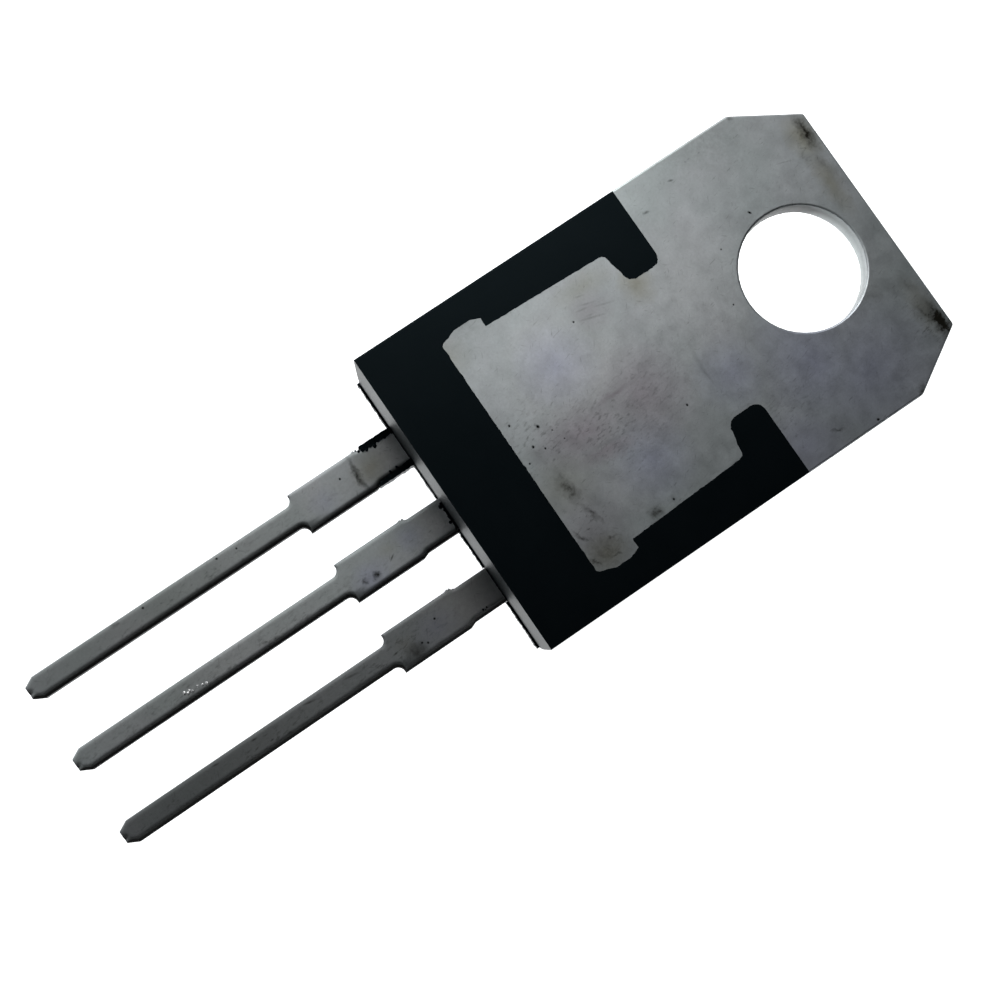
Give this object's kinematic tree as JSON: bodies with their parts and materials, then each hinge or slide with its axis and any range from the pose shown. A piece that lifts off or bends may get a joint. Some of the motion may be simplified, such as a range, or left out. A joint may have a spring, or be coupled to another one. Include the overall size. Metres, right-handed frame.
{
  "type": "schottky diode",
  "caption": "Through-hole power diode package: black epoxy moulding on a tin-plated heat-sink tab with a screw hole and a row of flat leads.",
  "frame": {"origin": "centre of the bounding box at the plane of the moulding's front face, on which the part rests", "axes": "+Z from the moulding's front face to the bare metal back, +Y from the leads to the screw tab, +X across the package to the viewer's right when the metal back is seen with the tab up"},
  "size_m": [0.0102, 0.0286, 0.0045],
  "materials": {
    "epoxy_moulding": "black silica-filled epoxy moulding compound, fine matt, lighter at the drafted ends",
    "tinned_frame": "matt tin plate on copper, mottled and lightly scratched",
    "tinned_leads": "matt tin plate on copper, sheared edges",
    "silicon": "silicon chip with aluminium front metal",
    "solder": "lead-tin die solder",
    "bond_aluminium": "drawn aluminium wire"
  },
  "bodies": {
    "root": {"moulded_body": "epoxy_moulding", "heatsink_and_centre_lead": "tinned_frame", "left_lead": "tinned_leads", "right_lead": "tinned_leads", "left_chip": "silicon", "right_chip": "silicon", "left_solder": "solder", "right_solder": "solder", "left_inner_bond_wire": "bond_aluminium", "left_outer_bond_wire": "bond_aluminium", "right_inner_bond_wire": "bond_aluminium", "right_outer_bond_wire": "bond_aluminium"}
  },
  "joints": []
}
